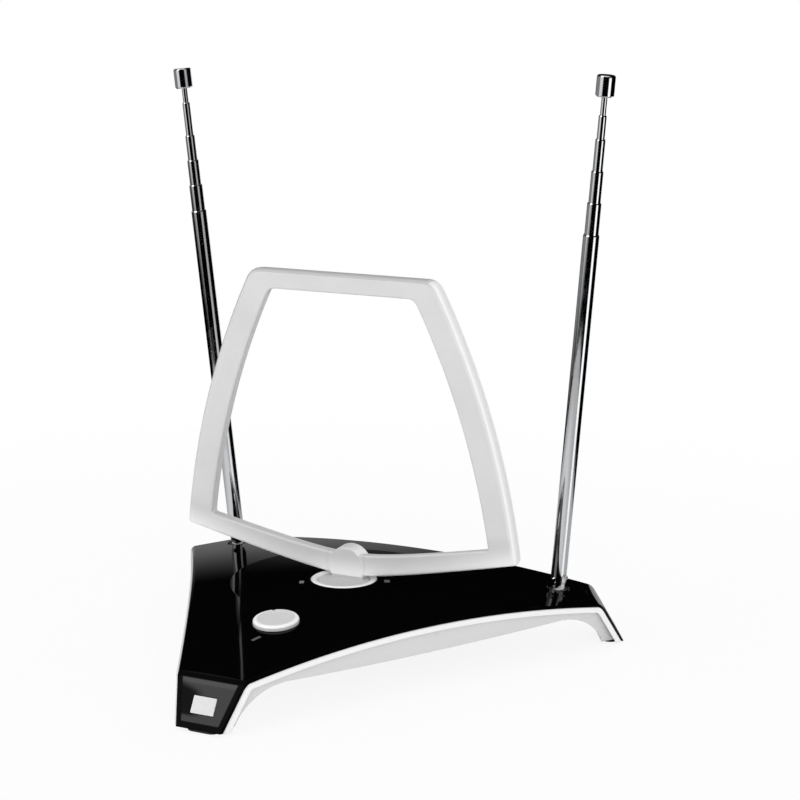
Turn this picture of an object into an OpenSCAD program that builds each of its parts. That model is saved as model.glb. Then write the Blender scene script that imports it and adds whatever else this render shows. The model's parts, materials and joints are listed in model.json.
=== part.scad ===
/* [Base] */
// Distance from the turntable axis to each foot's tip
tip_r = 123; // [118:1:128]
// Distance from the turntable axis to the middle of each concave side
side_r = 67.1; // [64:0.1:70]
// Radius of each concave side in plan
side_curve_r = 1631; // [1500:1:1800]
// Height of the crown at the turntable axis
crown_z = 29.8; // [28.5:0.1:30.5]
// Radius of the flat middle of the crown
crown_mid_r = 960; // [900:10:1100]
// Radius of the crown over the arms
crown_arm_r = 610; // [580:5:640]
// Distance from the axis where the two crown radii meet
crown_join_r = 50; // [45:1:55]
// Angle at which each arm folds down to its foot
slope_angle = 60; // [56:1:62]
// Radius of the fold
fold_r = 7; // [5:0.5:8]
// Height of the cover's edge above the ground at a foot
tip_z = 1.5; // [1.2:0.1:2]
// Wall thickness of both mouldings
wall = 2; // [1.8:0.1:2.2]
// Thickness of the cover's edge above the parting line
lip = 1; // [0.8:0.1:1.2]
// Width of the bevel along the cover's sides
bevel = 1.2; // [0.8:0.1:1.6]
// Height of the bead under the parting line
bead_h = 2.3; // [2:0.1:2.6]
// How far the bead stands out from the cover's side
bead_out = 0.6; // [0.4:0.1:0.8]
// Height of the pan's underside at its middle
pan_z = 12.4; // [12:0.1:13]
// Radius of the pan's slightly bowed underside
pan_bow_r = 1400; // [1200:50:1800]
// Radius of the arch between the pan and a foot
arch_r = 20; // [18:0.5:21]
// Distance from the axis to the arch's centre
arch_x = 94; // [93:0.5:95]

/* [Turntable] */
// Outer diameter of the trim ring
ring_d = 29.4; // [29:0.1:30]
// Inner diameter of the trim ring
ring_bore = 23; // [22.8:0.1:23.4]
// Diameter of the turntable's shaft
shaft_d = 10; // [9:0.1:10.4]

/* [Loop] */
// Height of the loop's top edge
loop_top = 165.1; // [160:0.1:170]
// Height of the loop's lowest point
loop_low = 30.5; // [30.2:0.1:31]
// Half the loop's width where its side curve meets the bottom
loop_half_low = 81.2; // [78:0.1:83]
// Half the loop's width where its side curve meets the top
loop_half_top = 44.2; // [43:0.1:47]
// Radius of the loop's bulging sides
loop_side_r = 345; // [320:5:400]
// Width of the bar along the sides
side_bar = 12.2; // [11:0.1:13]
// Width of the bar along the top
end_bar = 8.5; // [8:0.1:9]
// Width of the bar along the bottom, at the middle
low_bar = 10; // [9:0.1:10.5]
// How much less the bar is wide at its back than at its face, all on the inner side
bar_taper = 1.2; // [1:0.1:1.6]
// Depth of the bar from front to back
bar_depth = 7.8; // [7.4:0.2:9]
// Distance of the loop's plane behind the turntable axis
loop_back = 6; // [5.5:0.1:6.5]
// Forward lean of the loop
loop_lean = 2; // [0:0.5:3]
// Wall of the loop's two half shells
loop_wall = 1.5; // [1.4:0.1:1.6]
// Diameter of the hub boss
hub_d = 17.6; // [16:0.1:17.8]

/* [Gain knob] */
// Diameter of the knob
knob_d = 19.4; // [18:0.1:20]
// Height of the knob above the cover
knob_h = 1.8; // [1.4:0.1:2.2]
// Distance of the knob from the turntable axis
knob_r = 60.5; // [58:0.1:64]

/* [Telescopic rods] */
// Distance of each rod's pivot from the turntable axis
rod_r = 95; // [94:0.5:96]
// Outer diameter of the outermost tube
tube_d = 7; // [6.8:0.1:7.2]
// Step in diameter from one tube to the next
tube_step = 0.9; // [0.9:0.02:0.96]
// Wall of each tube
tube_wall = 0.3; // [0.28:0.01:0.32]
// Height of the outermost tube's mouth above the pivot
tube_len = 156; // [150:1:160]
// How far each inner section stands out when the rod is closed
closed_out = 1.2; // [1:0.1:1.5]
// How far each section of the right rod stands out
right_out = [13.6, 13.5, 13.4, 9.9, 7.8];
// How far each section of the left rod stands out
left_out = [11.9, 11.4, 11.3, 15, 6.6];
// Sideways lean of each rod
rod_lean = 5.34; // [4:0.1:7]
// Forward lean of each rod
rod_forward = 2; // [0:0.1:4]
// Diameter of the tip cap
cap_d = 8; // [7.6:0.1:8.4]
// Height of the tip cap
cap_h = 9; // [8:0.1:10]

/* [Hidden] */
$fn = 72;
ARMS = [-90, 30, 150];
SIDES = [-30, 90, 210];
BLACK = [0.03, 0.03, 0.035];
SILVER = [0.8, 0.8, 0.81];
CHROME = [0.75, 0.76, 0.78];
BRASS = [0.72, 0.58, 0.3];
STEEL = [0.55, 0.56, 0.58];
RUBBER = [0.08, 0.08, 0.08];
// Clearance between pieces that seat on each other
seat_gap = 0.05;
// Lean of the lower shell's walls in degrees, about the height where their inset is 1
draft = 7;
draft_z = 25;
side_c = side_r + side_curve_r;

// Half the width of an arm at a distance x from the axis, its sides standing out by a given amount
function arm_half(x, out) = let (b = -(2 * (side_c - x * cos(60)) * sin(60) + 2 * x * sin(60) * cos(60)),
    c = pow(side_c - x * cos(60), 2) + pow(x * sin(60), 2) - pow(side_curve_r - out, 2))
    (-b - sqrt(b * b - 4 * c)) / 2;
bead_tip_x = tip_r - (lip + seat_gap) / sin(slope_angle);
rear_y = bead_tip_x * sin(30) + arm_half(bead_tip_x, bead_out) * cos(30);
axis_y = (tip_r - rear_y) / 2;

crown_join_z = crown_z - crown_mid_r + sqrt(pow(crown_mid_r, 2) - pow(crown_join_r, 2));
arm_centre_z = crown_join_z - sqrt(pow(crown_arm_r, 2) - pow(crown_join_r, 2));
slope_n = [sin(slope_angle), cos(slope_angle)];
slope_k = tip_r * slope_n[0] + tip_z * slope_n[1];
// Centre of the fold, a little nearer the crown than tangent, so that the faces cross cleanly
fold_over = 0.1;
fold_d = slope_k - fold_r - arm_centre_z * slope_n[1];
fold_s = sqrt(pow(crown_arm_r - fold_r + fold_over, 2) - pow(fold_d, 2));
fold_c = [fold_d * slope_n[0] - fold_s * slope_n[1], arm_centre_z + fold_d * slope_n[1] + fold_s * slope_n[0]];

function crown_at(r) = min(crown_z - crown_mid_r + sqrt(pow(crown_mid_r, 2) - r * r),
    arm_centre_z + sqrt(pow(crown_arm_r, 2) - r * r));
function pan_at(r) = pan_z + pan_bow_r - sqrt(pow(pan_bow_r, 2) - r * r);
function arc(c, r, a0, a1, n) = [for (i = [0 : n]) let (a = a0 + (a1 - a0) * i / n) c + r * [cos(a), sin(a)]];

// Bevel along each side: a large cylinder lying at 45 degrees, through three points inside the edge
bevel_end_s = 90;
bevel_end_x = side_c - sqrt(pow(side_curve_r, 2) - pow(bevel_end_s, 2)) - bevel;
bevel_k = (side_r - bevel + crown_at(side_r - bevel)) / sqrt(2);
bevel_drop = bevel_k - (bevel_end_x + crown_at(norm([bevel_end_x, bevel_end_s]))) / sqrt(2);
bevel_r = (pow(bevel_end_s, 2) + pow(bevel_drop, 2)) / (2 * bevel_drop);

// Screws: three along the arms, three between them, all into bosses under the cover
screw_arm_r = 80;
screw_side_r = 52;
screw_split_z = 19.5;
screw_d = 3;
screw_head_d = 5.6;
screw_head_h = 1.8;
SCREWS = concat([for (a = ARMS) [screw_arm_r, a]], [for (a = SIDES) [screw_side_r, a]]);

// Heights around the turntable
recess_z = 28.1;
ring_top = crown_at(ring_d / 2) + 0.3;
disc_top = 29.2;
hub_z = 30.3;
boss_z = 23.8;
shaft_end_z = 22.6;
running = 0.05;

// Rounding of the bar's outer and inner edges, and the step between its two half shells
edge_round = 2;
edge_crisp = 0.9;
seam_step = 0.3;

// The shallow V of the loop's bottom edge, and the hub at its middle
loop_low_bend = 4.9;
loop_low_slope = 0.235;
low_thinning = 0.2;
hub_half = 9;
hub_boss_z = 34.6;

// Circuit board and the entry of the lead at the back
board_z = 17;
board_t = 1.6;
gland_x = 13;
gland_y = side_r - 0.6;
gland_z = 19.4;
gland_d = 7;
gland_bore = 5.2;

// Badge plate on the front foot's slope, its middle at a distance from the cover's edge
badge_w = 10.3;
badge_h = 7;
badge_along = 9.8;

// Rubber pads
pad_x = 118;
stud_d = 3;

// Gain knob on the front arm, square to the crown
knob_tilt = asin(knob_r / crown_arm_r);
knob_sink = 1;
spindle_d = 6;
pot_top = -4.4;

// Rod seats
seat_d = 8;
pad_d = 9.6;
pad_z = crown_at(rod_r);
pin_z = pad_z + 3.9;
post_d = 5;
seat_low = pad_z - 3.6;
pocket_z = seat_low - 2.3;
pin_d = 2.2;
fork_slot = 2.6;
fork_len = 7;
fork_end_r = 3.2;
tongue_w = 6;
lean_x = sin(rod_lean);
lean_y = sin(rod_forward);
rod_tilt = asin(norm([lean_x, lean_y]));
rod_turn = atan2(lean_y, lean_x);
bore_gap = 0.12;
cap_grip = 1;
section_low = 14;
section_step = 1.5;
WIDTHS = [for (i = [0 : 5]) tube_d - i * tube_step];

module on_axis() {
    translate([0, axis_y, 0]) children();
}

// The crowned top with its three folded tips, lowered by a given distance along its normal
module crown(down = 0) {
    intersection() {
        rotate_extrude($fn = 120) intersection() {
            translate([0, -20]) square([tip_r + 30, 80]);
            translate([0, crown_z - crown_mid_r]) circle(r = crown_mid_r - down, $fn = 600);
            translate([0, arm_centre_z]) circle(r = crown_arm_r - down, $fn = 600);
        }
        intersection_for(a = ARMS) rotate([0, 0, a]) arm_profile(down);
    }
}

module arm_profile(down) {
    low = -20;
    foot_x = (slope_k - down - low * slope_n[1]) / slope_n[0];
    points = concat([[-300, low], [-300, 60], [fold_c[0], 60]],
        arc(fold_c, fold_r - down, 90, 90 - slope_angle, 10), [[foot_x, low]]);
    rotate([90, 0, 0]) linear_extrude(400, center = true) polygon(points);
}

// The three-armed plan as a tall prism, its sides inset by a given amount and leaning in towards the ground
module plan(inset = 0, lean = 0, tip_inset = 0) {
    side = side_curve_r + inset;
    difference() {
        linear_extrude(60) rotate(90) circle(r = 2 * (tip_r - tip_inset), $fn = 3);
        for (a = SIDES) rotate([0, 0, a]) translate([side_r - inset, 0, draft_z]) rotate([0, lean, 0])
            translate([side, 0, 0]) cylinder(h = 120, r = side, center = true, $fn = 1440);
    }
}

module above_ground() {
    translate([-200, -200, tip_z]) cube([400, 400, 60]);
}

module at_polar(r, a) {
    rotate([0, 0, a]) translate([r, 0, 0]) children();
}

module on_knob() {
    translate([0, -knob_r, crown_at(knob_r)]) rotate([knob_tilt, 0, 0]) children();
}

// The badge's place on the front foot's sloping face
module on_badge() {
    translate([0, -tip_r + badge_along * cos(slope_angle), tip_z + badge_along * sin(slope_angle)])
        rotate([slope_angle, 0, 0]) children();
}

module cover_skin() {
    intersection() {
        above_ground();
        difference() {
            plan();
            crown(lip);
        }
        crown();
        intersection_for(a = SIDES) rotate([0, 0, a])
            translate([(bevel_k - bevel_r) / sqrt(2), 0, (bevel_k - bevel_r) / sqrt(2)]) rotate([0, 135, 0])
                cylinder(h = 700, r = bevel_r, center = true, $fn = 960);
    }
}

module cover_roof() {
    difference() {
        intersection() {
            above_ground();
            plan(3, 0, 1);
            crown(lip / 2);
        }
        crown(wall);
    }
}

module top_cover() {
    color(BLACK) difference() {
        union() {
            cover_skin();
            cover_roof();
            translate([0, 0, 26]) cylinder(d = ring_d + 4, h = recess_z - 25.8);
            translate([0, 0, boss_z]) cylinder(d = shaft_d + 8, h = recess_z - boss_z);
            on_knob() translate([0, 0, -3.6]) cylinder(d = knob_d + 4, h = 2.4);
            for (a = [30, 150]) at_polar(rod_r, a) translate([0, 0, pad_z - 2.4]) cylinder(d = pad_d, h = 2.4);
            for (p = SCREWS) at_polar(p[0], p[1])
                translate([0, 0, screw_split_z]) cylinder(d = 7, h = crown_at(p[0]) - 1 - screw_split_z);
        }
        translate([0, 0, recess_z]) cylinder(d = ring_d + 2 * seat_gap, h = 9);
        cylinder(d = shaft_d + 2 * running, h = 60);
        on_knob() translate([0, 0, -knob_sink]) cylinder(d = knob_d + 0.8, h = 9);
        on_knob() translate([0, 0, -9]) cylinder(d = spindle_d + 0.4, h = 18);
        for (a = [30, 150]) at_polar(rod_r, a) {
            translate([0, 0, pad_z]) cylinder(d = pad_d, h = 9);
            cylinder(d = seat_d + 2 * seat_gap, h = 60);
        }
        for (p = SCREWS) at_polar(p[0], p[1])
            translate([0, 0, screw_split_z - 1]) cylinder(d = screw_d, h = 5.2);
        on_badge() translate([0, 0, 0.35]) cube([badge_w + 0.2, badge_h + 0.2, 1.3], center = true);
    }
}

// The region above the pan's bowed underside, and over the arches into the legs
module above_floor(up = 0) {
    rotate_extrude($fn = 120) intersection() {
        square([tip_r + 20, 60]);
        translate([0, pan_z + pan_bow_r]) circle(r = pan_bow_r - up, $fn = 720);
    }
    for (a = ARMS) rotate([0, 0, a]) rotate([90, 0, 0]) linear_extrude(60, center = true) difference() {
        translate([arch_x, tip_z + up]) square([60, 40]);
        translate([arch_x, pan_at(arch_x) - arch_r]) circle(r = arch_r + up, $fn = 96);
    }
}

module shell_walls() {
    difference() {
        intersection() {
            plan(1, draft);
            crown(lip + seat_gap);
            above_floor();
        }
        intersection() {
            plan(1 + wall, draft, 1);
            above_floor(wall);
            intersection_for(a = ARMS) rotate([0, 0, a]) arm_profile(2 * wall);
        }
    }
}

module shell_bead() {
    difference() {
        intersection() {
            above_ground();
            plan(-bead_out);
            crown(lip + seat_gap);
        }
        crown(lip + bead_h);
        plan(2, 0, 0.5);
    }
}

module lower_shell() {
    color(SILVER) difference() {
        union() {
            shell_walls();
            shell_bead();
            for (p = SCREWS) at_polar(p[0], p[1]) translate([0, 0, pan_at(p[0]) + 1])
                cylinder(d = 8.4, h = screw_split_z - seat_gap - pan_at(p[0]) - 1);
            for (x = [-20, 20], y = [22, 44]) translate([x, y, pan_at(norm([x, y])) + 1])
                cylinder(d = 5, h = board_z - pan_at(norm([x, y])) - 1);
        }
        difference() {
            plan(3 - seat_gap, 0, 0.9);
            crown(wall + seat_gap);
        }
        for (p = SCREWS) at_polar(p[0], p[1]) {
            cylinder(d = screw_d + 0.4, h = 40);
            cylinder(d = screw_head_d + 0.4, h = pan_at(p[0]) + screw_head_h);
        }
        for (a = ARMS) at_polar(pad_x, a) cylinder(d = stud_d, h = 3.4);
        translate([gland_x, gland_y - 8, gland_z]) rotate([-90, 0, 0]) cylinder(d = gland_d + 2 * seat_gap, h = 20);
        for (a = [30, 150]) at_polar(rod_r, a) translate([0, 0, pocket_z]) cylinder(d = 10, h = 40);
    }
}

module foot_pad(a) {
    color(RUBBER) on_axis() at_polar(pad_x, a) {
        hull() for (y = [-1, 1]) translate([0, y * 3.6, 0]) cylinder(d = 7, h = tip_z, $fn = 32);
        cylinder(d = stud_d, h = 3.2);
    }
}

module badge_plate() {
    color([0.85, 0.85, 0.86]) on_axis() on_badge() translate([0, 0, -0.3 + 0.35])
        cube([badge_w, badge_h, 0.7], center = true);
}

module swivel_ring() {
    r0 = ring_bore / 2;
    r1 = ring_d / 2;
    crest = (r1 - r0) / 2;
    color([0.9, 0.9, 0.91]) on_axis() rotate_extrude() polygon(concat([[r0, recess_z]],
        [for (a = [180 : -15 : 0]) [r0 + crest + crest * cos(a), ring_top - 1 + sin(a)]], [[r1, recess_z]]));
}

module case_screws() {
    color(STEEL) on_axis() for (p = SCREWS) at_polar(p[0], p[1]) translate([0, 0, pan_at(p[0])]) {
        translate([0, 0, 0.4]) difference() {
            cylinder(d = screw_head_d, h = screw_head_h - 0.4);
            translate([0, 0, 0.3]) cube([0.9, 3.6, 0.8], center = true);
        }
        translate([0, 0, 1]) cylinder(d = screw_d, h = screw_split_z + 3.6 - pan_at(p[0]) - 1);
    }
}

module circuit_board() {
    color([0.1, 0.35, 0.2]) on_axis() difference() {
        translate([-27, 16, board_z]) cube([54, 42, board_t]);
        at_polar(screw_side_r, 90) cylinder(d = 9.6, h = 60);
        translate([gland_x - 6, 52, 0]) cube([12, 20, 60]);
    }
}

module amplifier_can() {
    color([0.7, 0.71, 0.72]) on_axis() translate([-17, 20, board_z + board_t]) difference() {
        cube([34, 20, 5]);
        translate([0.4, 0.4, -0.4]) cube([33.2, 19.2, 5]);
    }
}

module gain_control() {
    color(STEEL) on_axis() on_knob() difference() {
        union() {
            translate([0, 0, pot_top - 5]) cylinder(d = 16, h = 5);
            translate([0, 0, pot_top - 0.01]) cylinder(d = 9, h = -3.6 - pot_top + 0.01);
            translate([-4, -12, pot_top - 4]) cube([8, 12, 1.2]);
        }
        translate([0, 0, pot_top - 3]) cylinder(d = spindle_d + 2 * running, h = 20);
    }
}

module gain_spindle() {
    color([0.8, 0.8, 0.78]) on_axis() on_knob() difference() {
        translate([0, 0, pot_top - 2.9]) cylinder(d = spindle_d, h = 2.9 - pot_top + 0.4);
        translate([spindle_d / 2 - 1, -5, -0.8]) cube([5, 10, 5]);
    }
}

module gain_knob() {
    r = knob_d / 2;
    color(SILVER) on_axis() on_knob() difference() {
        rotate_extrude() polygon(concat([[0, -0.8], [r - 0.3, -0.8], [r, -0.5]],
            arc([r - 1.2, knob_h - 1.2], 1.2, 0, 80, 6),
            [[r - 2.6, knob_h], [r - 2.9, knob_h - 0.25], [0, knob_h - 0.25]]));
        difference() {
            translate([0, 0, -1]) cylinder(d = spindle_d, h = 1.4);
            translate([spindle_d / 2 - 1, -5, -0.8]) cube([5, 10, 5]);
        }
        rotate([0, 0, 125]) translate([r - 2.2, -0.6, knob_h - 0.7]) cube([4, 1.2, 4]);
    }
}

// The grommet where the lead enters at the back, its inner flange flattened against the floor
module cable_gland() {
    color(RUBBER) on_axis() difference() {
        translate([gland_x, gland_y, gland_z]) rotate([90, 0, 0]) difference() {
            union() {
                translate([0, 0, -1.2]) cylinder(d = gland_d, h = 7);
                translate([0, 0, -1.4]) cylinder(d = gland_d + 0.8, h = 2);
                translate([0, 0, 4]) cylinder(d = gland_d + 0.8, h = 2);
            }
            translate([0, 0, -5]) cylinder(d = gland_bore, h = 20);
        }
        translate([gland_x - 10, 0, -4]) cube([20, gland_y - 2, 20]);
    }
}

module rod_seat(s) {
    color([0.15, 0.15, 0.16]) on_rod_base(s) difference() {
        union() {
            translate([0, 0, seat_low]) cylinder(d = seat_d, h = pad_z - seat_low);
            translate([0, 0, seat_low]) cylinder(d = 9.6, h = 0.6);
        }
        cylinder(d = post_d + 2 * running, h = 60);
    }
}

// A rod's foot on the right (s = 1) or the left (s = -1)
module on_rod_base(s) {
    on_axis() translate([s * rod_r * cos(30), rod_r * sin(30), 0]) children();
}

// The pivot's frame: X points the way the rod leans, Y along the cross pin
module on_pivot(s) {
    on_rod_base(s) translate([0, 0, pin_z]) rotate([0, 0, s > 0 ? -rod_turn : 180 + rod_turn]) children();
}

module on_rod(s) {
    on_pivot(s) rotate([0, rod_tilt, 0]) children();
}

module swivel_post(s) {
    color(CHROME) on_pivot(s) difference() {
        union() {
            intersection() {
                translate([0, 0, seat_low - 2 - pin_z]) cylinder(d = post_d, h = 20);
                translate([-10, -10, -30]) cube([20, 20, 30 - pin_z + pad_z + 0.4]);
            }
            rotate([90, 0, 0]) cylinder(d = tongue_w, h = 2.4, center = true);
            translate([-post_d / 2, -1.2, pad_z - pin_z + 0.1]) cube([post_d, 2.4, pin_z - pad_z - 0.1]);
        }
        rotate([90, 0, 0]) cylinder(d = pin_d + 0.06, h = 20, center = true);
        translate([0, 0, seat_low - pin_z - 1.5]) difference() {
            cylinder(d = post_d + 2, h = 0.8);
            translate([0, 0, -1]) cylinder(d = post_d - 1, h = 3);
        }
    }
}

module post_spring(s) {
    color(STEEL) on_rod_base(s) translate([0, 0, seat_low - 0.65]) difference() {
        cylinder(d = 9, h = 0.6);
        translate([0, 0, -1]) cylinder(d = post_d + 0.1, h = 3);
    }
}

module post_clip(s) {
    color(STEEL) on_pivot(s) translate([0, 0, seat_low - pin_z - 1.45]) difference() {
        cylinder(d = 8.4, h = 0.7);
        translate([0, 0, -1]) cylinder(d = post_d - 1, h = 3);
        translate([0, -1.6, -1]) cube([10, 3.2, 3]);
    }
}

module rod_fork(s) {
    plug_d = tube_d - 2 * tube_wall;
    color(CHROME) on_rod(s) difference() {
        union() {
            intersection() {
                translate([0, 0, -fork_end_r]) cylinder(d = tube_d, h = fork_end_r + fork_len);
                union() {
                    rotate([90, 0, 0]) cylinder(r = fork_end_r, h = 20, center = true);
                    translate([-10, -10, 0]) cube(20);
                }
            }
            cylinder(d = plug_d, h = section_low - 0.5);
        }
        translate([-10, -fork_slot / 2, -10]) cube([20, fork_slot, 10 + tongue_w / 2 + 0.4]);
        rotate([90, 0, 0]) cylinder(d = pin_d, h = 20, center = true);
    }
}

module pivot_pin(s) {
    color(STEEL) on_rod(s) rotate([90, 0, 0]) {
        cylinder(d = pin_d, h = tube_d + 0.8, center = true);
        for (m = [0, 1]) mirror([0, 0, m]) translate([0, 0, tube_d / 2 + 0.02]) difference() {
            cylinder(d = 3.4, h = 0.9);
            if (m == 0) translate([0, 0, 0.9]) cube([0.6, 5, 0.7], center = true);
        }
    }
}

function outs(s) = s > 0 ? right_out : left_out;
function out_sum(s, n) = n == 0 ? 0 : outs(s)[n - 1] + out_sum(s, n - 1);
// The innermost section reaches a little way up inside the cap
function inside_cap(n) = n == 5 ? cap_grip : 0;
function closed_top(n) = tube_len + n * closed_out + inside_cap(n);
function section_bottom(n) = section_low + (n - 1) * section_step;

// The outermost tube, its mouth rolled in over the next one
module tube_1(s) {
    color(CHROME) on_rod(s) difference() {
        union() {
            translate([0, 0, fork_len]) cylinder(d = tube_d, h = tube_len - fork_len - 0.5);
            translate([0, 0, tube_len - 0.5]) cylinder(d1 = tube_d, d2 = tube_d - 0.5, h = 0.5);
        }
        cylinder(d = tube_d - 2 * tube_wall, h = tube_len - 1.5);
        cylinder(d = WIDTHS[1] + bore_gap, h = tube_len + 9);
    }
}

// Section n + 1, partly drawn out, with a flared foot that stops it in the last mouth
module section(s, n) {
    d = WIDTHS[n];
    mouth = tube_len + out_sum(s, n) + inside_cap(n);
    low = mouth - (closed_top(n) - section_bottom(n));
    inner = WIDTHS[n - 1] - 2 * tube_wall;
    color(CHROME) on_rod(s) difference() {
        union() {
            translate([0, 0, low]) cylinder(d = d, h = mouth - low - 0.4);
            translate([0, 0, mouth - 0.4]) cylinder(d1 = d, d2 = d - 0.4, h = 0.4);
            translate([0, 0, low]) cylinder(d = inner - 0.08, h = 6);
        }
        if (n < 5) {
            translate([0, 0, low - 1]) cylinder(d = d - 2 * tube_wall, h = mouth - low - 0.2);
            cylinder(d = WIDTHS[n + 1] + bore_gap, h = mouth + 9);
        }
    }
}

module tip_cap(s) {
    low = tube_len + out_sum(s, 5);
    r = cap_d / 2;
    color(CHROME) on_rod(s) difference() {
        rotate_extrude() polygon(concat([[0, low], [r - 0.6, low], [r, low + 0.6]],
            arc([r - 0.8, low + cap_h - 0.8], 0.8, 0, 90, 5), [[0, low + cap_h]]));
        cylinder(d = WIDTHS[5], h = low + cap_grip);
    }
}

// A lead from each rod's seat to the amplifier, drawn as one straight run
module rod_lead(s) {
    p = [s * (rod_r * cos(30) - 5), rod_r * sin(30), 20.2];
    q = [s * 17.25, 34, board_z + board_t + 2];
    v = q - p;
    color(BRASS) on_axis() translate(p) rotate([0, acos(v[2] / norm(v)), atan2(v[1], v[0])])
        cylinder(d = 1.4, h = norm(v));
}

module turntable() {
    color(SILVER) on_axis() difference() {
        union() {
            translate([0, 0, recess_z + seat_gap])
                cylinder(d = ring_bore - 0.4, h = disc_top - recess_z - seat_gap);
            translate([0, 0, shaft_end_z]) cylinder(d = shaft_d, h = recess_z - shaft_end_z + 0.2);
            intersection() {
                translate([-7.6, loop_back - 3, disc_top - 0.3]) cube([15.2, 6, hub_z - disc_top + 0.3]);
                cylinder(d = ring_bore - 0.6, h = 60);
            }
        }
        cylinder(d = screw_d, h = 27);
    }
}

module turntable_spring() {
    color(STEEL) on_axis() translate([0, 0, shaft_end_z]) difference() {
        cylinder(d = 15, h = boss_z - shaft_end_z - seat_gap);
        translate([0, 0, -1]) cylinder(d = shaft_d + 0.1, h = 9);
    }
}

module turntable_washer() {
    color(STEEL) on_axis() translate([0, 0, shaft_end_z - 1]) difference() {
        cylinder(d = 15, h = 1);
        translate([0, 0, -1]) cylinder(d = screw_d, h = 9);
    }
}

module turntable_screw() {
    color(STEEL) on_axis() {
        translate([0, 0, shaft_end_z - 2.6]) cylinder(d = 6, h = 1.6);
        translate([0, 0, shaft_end_z - 2]) cylinder(d = screw_d, h = 6);
    }
}

// The loop's outline, inset by a given amount, as one side from the hub to the middle of the top
loop_side_c = let (p = [loop_half_low, loop_low_at(loop_half_low)], q = [loop_half_top, loop_top],
    m = (p + q) / 2, v = q - p, h = sqrt(pow(loop_side_r, 2) - v * v / 4))
    m - h * [v[1], -v[0]] / norm(v);
function loop_low_at(x) = loop_low + norm([loop_low_bend, loop_low_slope * x]) - loop_low_bend;
// The bottom bar grows thinner towards the sides
function low_edge(x, inset) = loop_low_at(x) + inset * (1 - low_thinning * x / loop_half_low);
function side_edge(z, inset) = loop_side_c[0] + sqrt(pow(loop_side_r - inset, 2) - pow(z - loop_side_c[1], 2));
// Where the side curve meets the bottom edge, found by repeated steps
function low_corner(si, ei, z = 45, n = 6) = n == 0 ? side_edge(z, si)
    : low_corner(si, ei, low_edge(side_edge(z, si), ei), n - 1);
function bend(p, q, r, n) = [for (i = [0 : n]) let (t = i / n)
    (1 - t) * (1 - t) * p + 2 * t * (1 - t) * q + t * t * r];
function half_outline(si, ei, li, low_cut, top_cut) = let (
    cx = low_corner(si, li), cz = low_edge(cx, li), top = loop_top - ei, tx = side_edge(top, si),
    z0 = cz + low_cut, z1 = top - top_cut)
    concat(
        [for (i = [0 : 11]) let (x = hub_half + (cx - low_cut - hub_half) * i / 12) [x, low_edge(x, li)]],
        bend([cx - low_cut, low_edge(cx - low_cut, li)], [cx, cz], [side_edge(z0, si), z0], 5),
        [for (i = [1 : 11]) let (z = z0 + (z1 - z0) * i / 12) [side_edge(z, si), z]],
        bend([side_edge(z1, si), z1], [tx, top], [tx - top_cut, top], 6),
        [for (i = [1 : 4]) [(tx - top_cut) * (1 - i / 4), top]]);
function mirrored(h) = concat(h, [for (i = [len(h) - 2 : -1 : 0]) [-h[i][0], h[i][1]]]);

function wind(t, flip) = flip ? [t[0], t[2], t[1]] : t;
// Triangles that close the end of the half section
HALF_CAP = [[0, 1, 13], [1, 12, 13], [1, 2, 12], [2, 3, 12], [3, 4, 12], [4, 5, 12], [5, 11, 12],
    [5, 6, 11], [6, 7, 11], [7, 8, 11], [8, 10, 11], [8, 9, 10]];
// A section swept around the loop: u runs across the bar from the outer outline, v along its depth
module loop_sweep(outer, inner, profile, cap, flip = false) {
    rings = len(outer);
    n = len(profile);
    points = [for (i = [0 : rings - 1], p = profile) let (q = outer[i] + (inner[i] - outer[i]) * p[0])
        [q[0], p[1], q[1]]];
    faces = concat(
        [for (i = [0 : rings - 2], j = [0 : n - 1]) let (k = (j + 1) % n)
            wind([i * n + j, i * n + k, (i + 1) * n + j], flip)],
        [for (i = [0 : rings - 2], j = [0 : n - 1]) let (k = (j + 1) % n)
            wind([i * n + k, (i + 1) * n + k, (i + 1) * n + j], flip)],
        [for (t = cap) [t[2], t[1], t[0]]], [for (t = cap) t + (rings - 1) * n * [1, 1, 1]]);
    on_loop() polyhedron(points, faces);
}

module on_loop() {
    on_axis() translate([0, loop_back, loop_low]) rotate([loop_lean, 0, 0])
        translate([0, 0, -loop_low]) children();
}

// Half of the bar's hollow section, from the seam to the face, as shares of its width and a depth. Its outer
// edge is broadly rounded and its inner edge crisp. The inner wall stands back at the seam and at the face.
function half_section(at_seam, at_face) = let (h = bar_depth / 2, w = side_bar, u = edge_round / w,
    c = edge_crisp / w, i = 1 - at_face / w, t = loop_wall / w) concat(
    [[0, 0]], [for (a = [0 : 30 : 90]) [u - u * cos(a), -(h - edge_round) - edge_round * sin(a)]],
    [for (a = [90 : -30 : 0]) [i - c + c * cos(a), -(h - edge_crisp) - edge_crisp * sin(a)]],
    [[1 - at_seam / w, 0], [1 - at_seam / w - t, 0], [i - t, -(h - loop_wall)], [t, -(h - loop_wall)], [t, 0]]);

outer_line = mirrored(half_outline(0, 0, 0, 1.8, 4.6));
inner_line = mirrored(half_outline(side_bar, end_bar, low_bar, 1.2, 3));
step_line = mirrored(half_outline(seam_step, seam_step, seam_step, 1.8, 4.6));
step_inner = mirrored(half_outline(side_bar - seam_step, end_bar - seam_step, low_bar - seam_step, 1.2, 3));
front_section = half_section(bar_taper / 2, 0);
rear_section = half_section(bar_taper / 2, bar_taper);

module loop_front() {
    color(SILVER) loop_sweep(outer_line, inner_line, front_section, HALF_CAP);
}

module loop_rear() {
    back = [for (p = rear_section) [p[0], 0.02 - p[1]]];
    color(SILVER) loop_sweep(step_line, step_inner, back, [for (t = HALF_CAP) [t[0], t[2], t[1]]], true);
}

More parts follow.
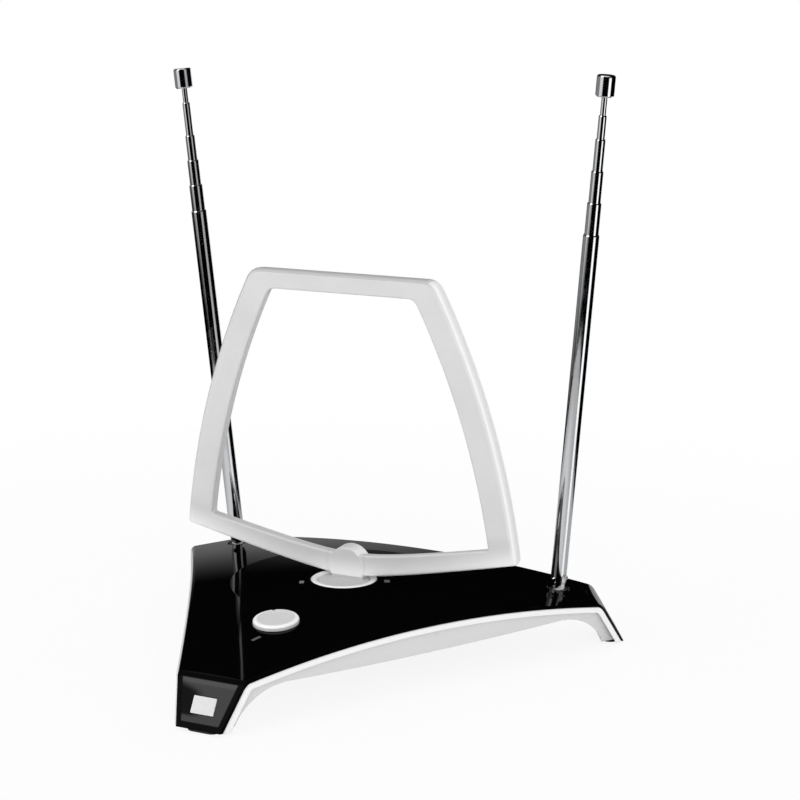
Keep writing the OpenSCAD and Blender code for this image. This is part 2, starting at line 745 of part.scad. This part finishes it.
module loop_conductor() {
    d = 1.5;
    color(BRASS) loop_sweep(outer_line, inner_line, [[0.3, -d], [0.7, -d], [0.7, d], [0.3, d]],
        [[0, 1, 2], [0, 2, 3]]);
}

// The bar's whole section at the hub, in depth and height
hub_section = let (h = bar_depth / 2, low = low_edge(hub_half, 0), top = low_edge(hub_half, low_bar)) concat(
    arc([-h + edge_round, low + edge_round], edge_round, 270, 180, 3),
    arc([-h + edge_crisp, top - edge_crisp], edge_crisp, 180, 90, 3),
    arc([h - edge_crisp, top - bar_taper - edge_crisp], edge_crisp, 90, 0, 3),
    arc([h - edge_round, low + edge_round], edge_round, 0, -90, 3));

// The solid middle of the bottom bar, with the round boss that stands on the turntable
module loop_hub() {
    r = hub_d / 2;
    h = bar_depth / 2 + 0.1;
    color(SILVER) difference() {
        on_loop() {
            rotate([90, 0, 90]) linear_extrude(2 * hub_half, center = true) polygon(hub_section);
            translate([0, 0, hub_boss_z]) rotate([90, 0, 0]) rotate_extrude() polygon(concat(
                [[0, -h]], arc([r - edge_crisp, -h + edge_crisp], edge_crisp, -90, 0, 4),
                arc([r - edge_crisp, h - edge_crisp], edge_crisp, 0, 90, 4), [[0, h]]));
        }
        translate([-50, 0, hub_z - 50]) cube([100, 100, 50]);
    }
}
on_axis() top_cover();
on_axis() lower_shell();
badge_plate();
swivel_ring();
foot_pad(ARMS[0]);  // foot_pad_front
foot_pad(ARMS[1]);  // foot_pad_right
foot_pad(ARMS[2]);  // foot_pad_left
case_screws();
circuit_board();
amplifier_can();
gain_control();
cable_gland();
rod_seat(1);  // rod_seat_right
rod_seat(-1);  // rod_seat_left
rod_lead(1);  // rod_lead_right
rod_lead(-1);  // rod_lead_left
loop_front();
loop_rear();
loop_conductor();
loop_hub();
turntable();
turntable_spring();
turntable_washer();
turntable_screw();
gain_knob();
gain_spindle();
swivel_post(1);  // swivel_post_right
post_spring(1);  // post_spring_right
post_clip(1);  // post_clip_right
rod_fork(1);  // rod_fork_right
pivot_pin(1);  // pivot_pin_right
tube_1(1);  // tube_1_right
section(1, 1);  // tube_2_right
section(1, 2);  // tube_3_right
section(1, 3);  // tube_4_right
section(1, 4);  // tube_5_right
section(1, 5);  // tube_6_right
tip_cap(1);  // tip_cap_right
swivel_post(-1);  // swivel_post_left
post_spring(-1);  // post_spring_left
post_clip(-1);  // post_clip_left
rod_fork(-1);  // rod_fork_left
pivot_pin(-1);  // pivot_pin_left
tube_1(-1);  // tube_1_left
section(-1, 1);  // tube_2_left
section(-1, 2);  // tube_3_left
section(-1, 3);  // tube_4_left
section(-1, 4);  // tube_5_left
section(-1, 5);  // tube_6_left
tip_cap(-1);  // tip_cap_left
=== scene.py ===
"""Looks for the indoor antenna: finishes, floor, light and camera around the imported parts."""

import json
import math

import bpy
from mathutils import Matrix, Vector


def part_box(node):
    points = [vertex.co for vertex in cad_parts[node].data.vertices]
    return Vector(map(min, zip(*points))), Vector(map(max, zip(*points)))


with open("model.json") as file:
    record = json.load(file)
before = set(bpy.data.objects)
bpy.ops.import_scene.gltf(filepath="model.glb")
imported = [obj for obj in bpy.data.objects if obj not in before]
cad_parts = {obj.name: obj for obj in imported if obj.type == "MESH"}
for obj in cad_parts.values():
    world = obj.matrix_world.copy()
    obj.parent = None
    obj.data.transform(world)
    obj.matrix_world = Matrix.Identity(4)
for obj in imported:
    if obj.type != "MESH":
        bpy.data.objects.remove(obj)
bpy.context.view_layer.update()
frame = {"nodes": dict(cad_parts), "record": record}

# Camera: place in metres, angles in degrees, lens and sensor in millimetres
CAMERA_PLACE = (0.4073, -0.7468, 0.2967)
CAMERA_AZIMUTH = 26.17
CAMERA_ELEVATION = 12.08
CAMERA_LENS = 93.14
SENSOR_WIDTH = 36

# Lamps: name, place, diameter and power, all turned towards one point
LAMPS = (
    ("top_lamp", (-0.2, -0.3, 1.3), 0.9, 2),
    ("right_lamp", (0.8, -1.1, 0.6), 0.8, 4.8),
    ("left_lamp", (-0.6, -1.2, 0.5), 0.8, 3.7),
    ("back_lamp", (0.2, 1.3, 0.6), 0.9, 3),
)
LAMP_AIM = (0, 0, 0.05)

# Strength of the light that matt surfaces get from all around
PLAIN_LEVEL = 0.70

# Floor: a disc in metres, of which mirrors see a part round a centre of its own
FLOOR_RADIUS = 6.0
FLOOR_CORNERS = 96
FLOOR_GREY = 0.86
MIRRORED_FLOOR_RADIUS = 0.36
MIRRORED_FLOOR_CENTRE = (-0.032, -0.071, 0)

# Share of the cover's mirror image that shows: in general, on the front arm, in the panel and in its border.
# The front arm's share sets in between two places along Y, in metres.
COVER_GLOSS = 0.55
ARM_GLOSS = 0.26
PANEL_GLOSS = 0.72
BORDER_GLOSS = 0.06
ARM_LIMITS = (-0.035, -0.010)

# The front foot's slope and the panel on it, measured up the slope from the foot's lower edge
FOOT_SLOPE_ANGLE = 60
FOOT_SLOPE_DEPTH = 0.0118
PANEL_START = 0.0030
PANEL_END = 0.0196
PANEL_EDGE = 0.0006
PANEL_HALF_WIDTH = 0.0077
PANEL_FLARE = 0.24
PANEL_EDGE_LIMITS = (PANEL_HALF_WIDTH - 0.0002, PANEL_HALF_WIDTH + 0.0004)
# PANEL_LINE_LIMITS: where the painted bright reflection line at the panel's upper edge sets in
PANEL_LINE_LIMITS = (PANEL_END - 0.0022, PANEL_END - 0.0010)

# The panel's painted dark reflection in its lower left part: its strength, and where it sets in and ends
SHADE_DEPTH = 0.95
SHADE_LOW_LIMITS = (0.0044, 0.0060)
SHADE_TOP_LIMITS = (0.0125, 0.0160)
SHADE_TOP_SLANT = 0.28
SHADE_SIDE_LIMITS = (-0.0060, 0.0005)

# Printed index marks on the cover: start, end and half width
MARKS = (
    ((-0.0001, -0.0538), (0.0011, -0.0496), 0.0006),
    ((-0.0134, 0.0117), (-0.0148, 0.0147), 0.0008),
    ((0.0196, 0.0293), (0.0180, 0.0325), 0.0010),
)
MARK_EDGE = 0.0004
MARK_GREY = 0.42

# The loop's lower bar, a shallow V, which places the loop's painted light and shade: height of its lower
# edge, rounding, slope, and the bar's own height
LOOP_LOW = 0.0305
LOOP_LOW_BEND = 0.0049
LOOP_LOW_SLOPE = 0.235
LOOP_LOW_BAR = 0.010

# The knob's polished rim, painted brighter as a highlight
KNOB_RIM_WIDTH = 0.0017

# Values between which nearly all of a noise lies
NOISE_MIDDLE = (0.3, 0.7)

# Grey levels that more than one finish uses
PIANO_BLACK = 0.0012
# The white of the painted highlights on the shell's beaded rim and on the knob's rim
PAINTED_HIGHLIGHT_WHITE = 0.96

# The loop and the rods' thin ends show in no mirror, as on the real cover
UNMIRRORED = (
    "loop_front",
    "loop_rear",
    "loop_hub",
    "loop_conductor",
    "tube_2",
    "tube_3",
    "tube_4",
    "tube_5",
    "tube_6",
    "tip_cap",
)


class Wire:
    """One socket of a node tree. Arithmetic on it adds Math nodes."""

    def __init__(self, finish, socket):
        self.finish = finish
        self.socket = socket

    def __add__(self, other):
        return self.finish.maths("ADD", self, other)

    def __radd__(self, other):
        return self.finish.maths("ADD", other, self)

    def __sub__(self, other):
        return self.finish.maths("SUBTRACT", self, other)

    def __rsub__(self, other):
        return self.finish.maths("SUBTRACT", other, self)

    def __mul__(self, other):
        return self.finish.maths("MULTIPLY", self, other)

    def __rmul__(self, other):
        return self.finish.maths("MULTIPLY", other, self)

    def __truediv__(self, other):
        return self.finish.maths("DIVIDE", self, other)

    def __abs__(self):
        return self.finish.maths("ABSOLUTE", self)

    def root(self):
        return self.finish.maths("SQRT", self)

    def rise(self, start, end, low=0.0, high=1.0):
        """A smooth step from low at start to high at end."""
        return self.finish.node(
            "ShaderNodeMapRange",
            {"interpolation_type": "SMOOTHSTEP"},
            {"Value": self, "From Min": start, "From Max": end, "To Min": low, "To Max": high},
        )

    def fall(self, start, end):
        """A smooth step from 1 at start to 0 at end."""
        return self.rise(start, end, 1.0, 0.0)

    def spread(self, low=0.0, high=1.0):
        """From low to high over the middle values of a noise."""
        return self.rise(*NOISE_MIDDLE, low, high)

    def band(self, start, end, soft):
        """1 between start and end, fading to 0 over soft on each side."""
        return self.rise(start - soft, start) * self.fall(end, end + soft)


class Finish:
    """The node tree of a material or the world, built from nothing."""

    def __init__(self, owner):
        owner.use_nodes = True
        self.tree = owner.node_tree
        self.tree.nodes.clear()

    def node(self, kind, settings=None, sockets=None, out=0):
        """Adds a node, sets its settings first, then fills its sockets, and returns one of its outputs."""
        node = self.tree.nodes.new(kind)
        for name, value in (settings or {}).items():
            setattr(node, name, value)
        for name, value in (sockets or {}).items():
            socket = node.inputs[name]
            if isinstance(value, Wire):
                self.tree.links.new(value.socket, socket)
            else:
                socket.default_value = value
        return Wire(self, node.outputs[out])

    def maths(self, operation, *values):
        return self.node("ShaderNodeMath", {"operation": operation}, dict(enumerate(values)))

    def axes(self, vector):
        """The three parts of a vector."""
        return [self.node("ShaderNodeSeparateXYZ", None, {0: vector}, out=i) for i in range(3)]

    def place(self, stretch=(1, 1, 1)):
        """The point on the object, in metres, stretched by a factor along each axis."""
        point = self.node("ShaderNodeTexCoord", out="Object")
        return self.node("ShaderNodeMapping", None, {"Vector": point, "Scale": stretch})

    def facing(self):
        """The three parts of the direction that the surface faces, turning with its part."""
        return self.axes(self.node("ShaderNodeTexCoord", out="Normal"))

    def ray(self, kind):
        """1 where a ray of this kind arrives, 0 for every other."""
        return self.node("ShaderNodeLightPath", out=kind)

    def noise(self, scale, detail, stretch=(1, 1, 1)):
        sockets = {"Vector": self.place(stretch), "Scale": scale, "Detail": detail}
        return self.node("ShaderNodeTexNoise", None, sockets)

    def bump(self, height, distance, strength, soft_edge=0.0):
        """A fine relief, over edges that look rounded by the radius soft_edge."""
        sockets = {"Height": height, "Distance": distance, "Strength": strength}
        if soft_edge:
            sockets["Normal"] = self.node("ShaderNodeBevel", {"samples": 6}, {"Radius": soft_edge})
        return self.node("ShaderNodeBump", None, sockets)

    def mix(self, share, low, high):
        """A colour between low and high."""
        sockets = {0: share, 6: colour(low), 7: colour(high)}
        return self.node("ShaderNodeMix", {"data_type": "RGBA"}, sockets, out=2)

    def mix_shaders(self, share, low, high):
        return self.node("ShaderNodeMixShader", None, {0: share, 1: low, 2: high})

    def ends(self, shader, target="ShaderNodeOutputMaterial"):
        end = self.tree.nodes.new(target)
        self.tree.links.new(shader.socket, end.inputs["Surface"])


def colour(value):
    """A grey level or a colour as a socket takes it. A wire stays as it is."""
    if isinstance(value, Wire):
        return value
    if isinstance(value, (int, float)):
        value = (value, value, value)
    return (*value, 1.0)


def material(name, build):
    """A new material from the Principled sockets that build gives. Gloss is their share over dull black."""
    made = bpy.data.materials.new(name)
    finish = Finish(made)
    sockets = build(finish)
    gloss = sockets.pop("Gloss", None)
    sockets["Base Color"] = colour(sockets["Base Color"])
    shader = finish.node("ShaderNodeBsdfPrincipled", None, sockets)
    if gloss is not None:
        dull = finish.node("ShaderNodeBsdfDiffuse", None, {"Color": colour(PIANO_BLACK)})
        shader = finish.mix_shaders(gloss, dull, shader)
    finish.ends(shader)
    return made


def cover_gloss(f):
    """Gloss of the cover: even on the body, less on the front arm, with a glossy panel on its dull foot,
    whose painted reflection is darker low on the left and brighter along its top.
    """
    low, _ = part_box("top_cover")
    x, y, z = f.axes(f.place())
    depth = y - low[1]
    angle = math.radians(FOOT_SLOPE_ANGLE)
    along = math.cos(angle) * depth + math.sin(angle) * (z - low[2])
    slope = depth.fall(FOOT_SLOPE_DEPTH, FOOT_SLOPE_DEPTH + PANEL_EDGE)
    aside = abs(x) - PANEL_FLARE * along

    # The panel, with a painted dark reflection in its lower left part and a painted bright reflection line
    # along its upper edge
    panel = along.band(PANEL_START, PANEL_END, PANEL_EDGE)
    panel = panel * aside.fall(*PANEL_EDGE_LIMITS)
    painted_shade = along.rise(*SHADE_LOW_LIMITS) * (along + SHADE_TOP_SLANT * x).fall(*SHADE_TOP_LIMITS)
    painted_shade = painted_shade * x.fall(*SHADE_SIDE_LIMITS)
    # Painted highlight: the panel mirrors fully along its upper edge
    lit = PANEL_GLOSS + (1 - PANEL_GLOSS) * along.rise(*PANEL_LINE_LIMITS)
    foot = BORDER_GLOSS + (lit - BORDER_GLOSS) * (panel - SHADE_DEPTH * panel * painted_shade)

    plain = COVER_GLOSS - (COVER_GLOSS - ARM_GLOSS) * y.fall(*ARM_LIMITS)
    return plain + slope * (foot - plain)


def index_marks(f):
    """1 on the printed marks, 0 elsewhere."""
    x, y, _ = f.axes(f.place())
    found = 0.0
    for (x0, y0), (x1, y1), half in MARKS:
        length = math.hypot(x1 - x0, y1 - y0)
        dx, dy = (x1 - x0) / length, (y1 - y0) / length
        along = dx * (x - x0) + dy * (y - y0)
        aside = dy * (x - x0) - dx * (y - y0)
        found = found + along.band(0.0, length, MARK_EDGE) * aside.band(-half, half, MARK_EDGE)
    return found


def piano_black(f):
    """Mirror-gloss moulding, slightly wavy as a moulded face is, with a little dust and the printed marks."""
    wave = f.noise(220, 1.0)
    dust = f.noise(2600, 2.0).rise(0.66, 0.8)
    return {
        "Base Color": f.mix(index_marks(f), f.mix(dust, PIANO_BLACK, 0.01), MARK_GREY),
        "Roughness": 0.035 + 0.1 * dust,
        "IOR": 1.5,
        "Normal": f.bump(wave, 0.00001, 0.35, 0.0005),
        "Gloss": cover_gloss(f),
    }


def shell_white(f):
    """Smooth white moulding, a little uneven in its gloss, with painted light: brighter where it faces
    sideways or a little up, as the beaded rim under the parting line does, and darker elsewhere, as on the
    walls that face down.
    """
    cloud = f.noise(45, 3.0)
    grain = f.noise(1800, 2.0)
    # Painted light: faces turned sideways take the bright white, faces turned down keep a darker painted
    # shade
    sideways_painted_light = f.facing()[2].band(-0.05, 0.3, 0.05)
    return {
        "Base Color": f.mix(sideways_painted_light, f.mix(cloud, 0.73, 0.77), PAINTED_HIGHLIGHT_WHITE),
        "Roughness": cloud.spread(0.26, 0.36),
        "Normal": f.bump(grain, 0.00002, 0.25, 0.0004),
    }


def loop_white(f):
    """Satin light plastic of the loop, faintly mottled, with painted light and shade: lighter low on the
    lower bar and on undersides, lighter on right-facing faces of its right half, darker on its top.
    """
    cloud = f.noise(38, 4.0)
    grain = f.noise(1500, 3.0)
    x, _, z = f.axes(f.place())
    low_edge = (x * x * LOOP_LOW_SLOPE**2 + LOOP_LOW_BEND**2).root()
    height = (z - low_edge - (LOOP_LOW - LOOP_LOW_BEND)) / LOOP_LOW_BAR
    aside, _, up = f.facing()

    face = f.mix(cloud.spread(), 0.64, 0.68)
    # Painted light and shade: lighter low on the lower bar and on undersides as if lit from below, lighter on
    # right-facing faces in the right half, darker on the upward top
    low_bar_painted_light = f.mix(height.rise(0.0, 1.0), 0.84, 0.61)
    side_painted_light = f.mix(x.rise(-0.01, 0.01), 0.66, 0.90)
    top_painted_shade = up.rise(0.0, 0.4) * height.rise(3.0, 4.0) * aside.fall(0.15, 0.4)
    under = up.fall(-0.5, 0.0) * height.fall(0.3, 0.5)

    # The painted light and shade laid over the plain face
    painted_tone = f.mix(height.rise(1.0, 1.5), low_bar_painted_light, face)
    painted_tone = f.mix(aside.rise(0.05, 0.7), painted_tone, side_painted_light)
    painted_tone = f.mix(top_painted_shade, painted_tone, 0.47)
    return {
        "Base Color": f.mix(under, painted_tone, 0.98),
        "Roughness": grain.spread(0.36, 0.46),
        "Normal": f.bump(grain, 0.00003, 0.4, 0.0006),
    }


def trim_white(f):
    """Polished white of the ring round the turntable."""
    grain = f.noise(1400, 2.0)
    return {
        "Base Color": f.mix(grain, 0.90, 0.94),
        "Roughness": grain.spread(0.16, 0.24),
        "Normal": f.bump(grain, 0.00001, 0.2, 0.0003),
    }


def satin_grey(f):
    grain = f.noise(1500, 3.0)
    return {
        "Base Color": f.mix(grain.spread(), 0.60, 0.66),
        "Roughness": grain.spread(0.34, 0.44),
        "Normal": f.bump(grain, 0.00003, 0.4),
    }


def knob_satin(f):
    """Satin grey top and side, with a polished rim between them that is painted brighter as a highlight."""
    low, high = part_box("gain_knob")
    rim_start = (high[0] - low[0]) / 2 - KNOB_RIM_WIDTH
    x, y, _ = f.axes(f.place())
    x = x - (low[0] + high[0]) / 2
    y = y - (low[1] + high[1]) / 2
    # Painted highlight: the upward face of the polished rim is made bright white
    rim = (x * x + y * y).root().rise(rim_start - 0.0001, rim_start + 0.0002)
    rim = rim * f.facing()[2].rise(0.1, 0.4)
    grain = f.noise(1500, 3.0)
    return {
        "Base Color": f.mix(rim, f.mix(grain.spread(), 0.64, 0.70), PAINTED_HIGHLIGHT_WHITE),
        "Roughness": 0.4 - 0.22 * rim,
        "Normal": f.bump(grain, 0.00003, 0.4, 0.0003),
    }


def badge_face(f):
    grain = f.noise(2200, 2.0)
    return {
        "Base Color": f.mix(grain.spread(), 0.60, 0.68),
        "Roughness": 0.32,
        "Normal": f.bump(grain, 0.00002, 0.3),
    }


def tube_chrome(f):
    """Polished drawn tube with faint lengthwise draw lines."""
    draw_lines = f.noise(1400, 3.0, (1, 1, 0.02))
    haze = f.noise(160, 3.0)
    return {
        "Base Color": (0.86, 0.87, 0.89),
        "Metallic": 1.0,
        "Roughness": haze.rise(0.35, 0.75, 0.05, 0.11) + 0.03 * draw_lines,
        "Normal": f.bump(draw_lines, 0.00001, 0.25),
    }


def nickel_satin(f):
    """Pale satin nickel of the posts that the rods stand on."""
    turned = f.noise(900, 3.0)
    return {
        "Base Color": f.mix(turned, 0.92, 0.97),
        "Metallic": 0.2,
        "Roughness": turned.spread(0.22, 0.34),
        "Normal": f.bump(turned, 0.00002, 0.3),
    }


def plated_steel(f):
    turned = f.noise(900, 3.0)
    return {
        "Base Color": f.mix(turned, (0.50, 0.51, 0.53), (0.62, 0.63, 0.65)),
        "Metallic": 1.0,
        "Roughness": turned.spread(0.24, 0.38),
        "Normal": f.bump(turned, 0.00003, 0.4),
    }


def tinned_sheet(f):
    spangle = f.noise(300, 4.0)
    return {
        "Base Color": f.mix(spangle, (0.62, 0.63, 0.64), (0.74, 0.75, 0.76)),
        "Metallic": 1.0,
        "Roughness": spangle.spread(0.28, 0.42),
    }


def bare_brass(f):
    tarnish = f.noise(260, 4.0)
    return {
        "Base Color": f.mix(tarnish, (0.80, 0.60, 0.28), (0.62, 0.44, 0.19)),
        "Metallic": 1.0,
        "Roughness": tarnish.spread(0.28, 0.45),
    }


def pad_rubber(f):
    grain = f.noise(2400, 3.0)
    return {
        "Base Color": f.mix(grain, 0.018, 0.035),
        "Roughness": grain.spread(0.6, 0.8),
        "Normal": f.bump(grain, 0.00006, 0.6),
    }


def board_green(f):
    weave = f.noise(1200, 2.0)
    return {
        "Base Color": f.mix(weave, (0.02, 0.13, 0.06), (0.03, 0.18, 0.08)),
        "Roughness": 0.3,
        "Normal": f.bump(weave, 0.00002, 0.3),
    }


def bushing_plastic(f):
    grain = f.noise(1800, 2.0)
    return {
        "Base Color": f.mix(grain, 0.02, 0.035),
        "Roughness": grain.spread(0.38, 0.5),
        "Normal": f.bump(grain, 0.00002, 0.3),
    }


def natural_plastic(f):
    grain = f.noise(1500, 2.0)
    return {
        "Base Color": f.mix(grain, (0.70, 0.70, 0.66), (0.76, 0.76, 0.72)),
        "Roughness": 0.42,
        "Normal": f.bump(grain, 0.00002, 0.3),
    }


# The finish of each material slot
FINISHES = {
    "cover_black": piano_black,
    "shell_white": shell_white,
    "badge_grey": badge_face,
    "ring_white": trim_white,
    "pad_rubber": pad_rubber,
    "screw_steel": plated_steel,
    "board_green": board_green,
    "can_tin": tinned_sheet,
    "control_steel": plated_steel,
    "gland_rubber": pad_rubber,
    "seat_plastic": bushing_plastic,
    "lead_brass": bare_brass,
    "loop_silver": loop_white,
    "conductor_brass": bare_brass,
    "turntable_grey": satin_grey,
    "knob_silver": knob_satin,
    "spindle_plastic": natural_plastic,
    "rod_chrome": tube_chrome,
    "cap_chrome": tube_chrome,
}


def finish_parts():
    """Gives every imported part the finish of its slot, and the rods' posts a paler one."""
    made = {slot: material(slot, build) for slot, build in FINISHES.items()}
    post = material("post_nickel", nickel_satin)
    slot_of = {part["node"]: part["material_slot"] for part in frame["record"]["subparts"]}
    for name, part in frame["nodes"].items():
        part.data.materials.clear()
        part.data.materials.append(post if name.startswith("swivel_post") else made[slot_of[name]])
        part.visible_glossy = not name.startswith(UNMIRRORED)


def floor_white(f):
    """White to the camera with the object's shadow on it, and clearer to mirrors the further out it is."""
    distance = f.node("ShaderNodeVectorMath", {"operation": "LENGTH"}, {0: f.place()}, out="Value")
    ends = {0: f.place(), 1: MIRRORED_FLOOR_CENTRE}
    reach = f.node("ShaderNodeVectorMath", {"operation": "DISTANCE"}, ends, out="Value")
    plain = f.node("ShaderNodeBsdfDiffuse", None, {"Color": colour(FLOOR_GREY)})
    glow = f.node("ShaderNodeEmission", None, {"Color": colour(1.0), "Strength": 1.0})
    clear = f.node("ShaderNodeBsdfTransparent")

    # The camera sees mostly white near the object, with a share of the lit floor, and all white further out
    lit = f.mix_shaders(distance.rise(0.15, 0.6, 0.88, 1.0) * f.ray("Is Camera Ray"), plain, glow)

    # Mirrors see three quarters of the floor at its centre, then half of it, and nothing past its radius
    unseen = 0.25 + reach.rise(0.12, 0.26, 0.0, 0.25)
    unseen = unseen + reach.rise(MIRRORED_FLOOR_RADIUS - 0.03, MIRRORED_FLOOR_RADIUS + 0.03, 0.0, 0.5)
    return f.mix_shaders(f.ray("Is Glossy Ray") * unseen, lit, clear)


def lay_floor():
    """A round floor under the object."""
    turns = [2 * math.pi * i / FLOOR_CORNERS for i in range(FLOOR_CORNERS)]
    rim = [(FLOOR_RADIUS * math.cos(turn), FLOOR_RADIUS * math.sin(turn), 0) for turn in turns]
    mesh = bpy.data.meshes.new("floor")
    mesh.from_pydata(rim, [], [list(range(FLOOR_CORNERS))])
    floor = bpy.data.objects.new("floor", mesh)
    bpy.context.scene.collection.objects.link(floor)
    made = bpy.data.materials.new("floor_white")
    f = Finish(made)
    f.ends(floor_white(f))
    mesh.materials.append(made)


def build_studio():
    """White for the camera, a plain level for matt surfaces, and lit walls and cards for mirrors."""
    world = bpy.data.worlds.new("studio")
    bpy.context.scene.world = world
    f = Finish(world)
    x, y, z = f.axes(f.node("ShaderNodeTexCoord", out="Generated"))

    # Direction in degrees: around from the camera's side towards its right, and up from the floor
    turn = math.radians(CAMERA_AZIMUTH)
    toward = math.sin(turn) * x - math.cos(turn) * y
    right = math.cos(turn) * x + math.sin(turn) * y
    degree = 180 / math.pi
    around = degree * f.maths("ARCTAN2", right, toward)
    up = degree * f.maths("ARCSINE", z)
    behind = around.fall(-170, -156) + around.rise(174.5, 179)

    # What mirrors see: the strength of each wall or card, and its reach around and up
    ceiling = 0.8 * up.rise(48, 60) * (1 - around.band(70, 140, 12) * up.fall(70, 80))
    left_wall = 0.75 * around.band(-76, -46, 8) * up.rise(-14, -6) * up.fall(20, 26)
    left_corner = 0.22 * around.band(-140, -84, 8) * up.rise(-12, -7) * up.fall(20, 26)
    window = around.band(36, 56, 10) * up.band(-60, 18, 8) * up.rise(-12, -3, 1.2, 0.4)
    back_wall = around.band(148, 166, 6) * up.band(-60, 5, 5)
    far_table = 0.45 * behind * up.fall(2, 16)
    card = 2.0 * around.band(-80, -44, 6) * up.band(28, 52, 4)
    studio = ceiling + left_wall + left_corner + window + back_wall + far_table + card

    level = PLAIN_LEVEL + f.ray("Is Glossy Ray") * (studio - PLAIN_LEVEL)
    level = level + f.ray("Is Camera Ray") * (1.0 - level)
    light = f.node("ShaderNodeBackground", None, {"Color": colour(1.0), "Strength": level})
    f.ends(light, "ShaderNodeOutputWorld")


def hang_lamp(name, place, size, power):
    """A large soft lamp that matt surfaces catch and mirrors don't show."""
    data = bpy.data.lights.new(name, "AREA")
    data.shape = "DISK"
    data.size = size
    data.energy = power
    lamp = bpy.data.objects.new(name, data)
    lamp.location = place
    lamp.rotation_euler = (Vector(place) - Vector(LAMP_AIM)).to_track_quat("Z", "Y").to_euler()
    lamp.visible_glossy = False
    lamp.visible_camera = False
    bpy.context.scene.collection.objects.link(lamp)


def aim_camera():
    data = bpy.data.cameras.new("camera")
    data.sensor_width = SENSOR_WIDTH
    data.lens = CAMERA_LENS
    camera = bpy.data.objects.new("camera", data)
    camera.location = CAMERA_PLACE
    camera.rotation_euler = (math.radians(90 - CAMERA_ELEVATION), 0, math.radians(CAMERA_AZIMUTH))
    bpy.context.scene.collection.objects.link(camera)
    bpy.context.scene.camera = camera


aim_camera()
finish_parts()
lay_floor()
build_studio()
for lamp in LAMPS:
    hang_lamp(*lamp)
bpy.context.scene.view_settings.view_transform = "Standard"
